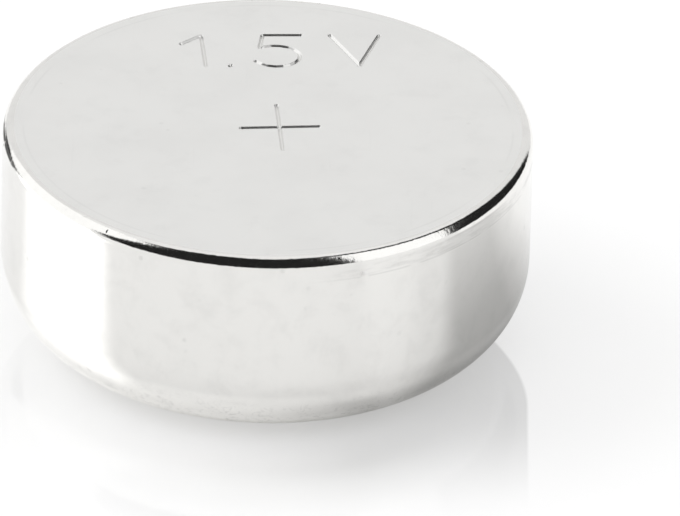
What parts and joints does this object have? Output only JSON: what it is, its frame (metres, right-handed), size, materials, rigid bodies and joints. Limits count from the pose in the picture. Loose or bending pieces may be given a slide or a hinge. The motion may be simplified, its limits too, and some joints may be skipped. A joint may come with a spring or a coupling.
{
  "type": "alkaline button cell",
  "caption": "Round metal button cell: a drawn positive can rolled in over a sealing gasket and a stepped negative cap, with pellet, film, pad and zinc gel inside.",
  "frame": {"origin": "centre of the negative terminal's flat face, on which the cell stands", "axes": "+Z along the axis of the cell, from the negative to the positive terminal; X and Y are free turns of a round part"},
  "size_m": [0.0116, 0.0116, 0.0051],
  "materials": {
    "nickel_can": "bright nickel plate with a satin face",
    "nickel_cap": "bright nickel clad",
    "nylon": "milky moulded nylon",
    "cathode_mix": "pressed black powder",
    "film": "thin cellulose film",
    "fibre": "non-woven fibre",
    "zinc_gel": "granular grey gel"
  },
  "bodies": {
    "root": {"positive_can": "nickel_can", "cathode_pellet": "cathode_mix", "barrier_film": "film", "absorbent_pad": "fibre", "zinc_anode": "zinc_gel", "sealing_gasket": "nylon", "negative_cap": "nickel_cap"}
  },
  "joints": []
}
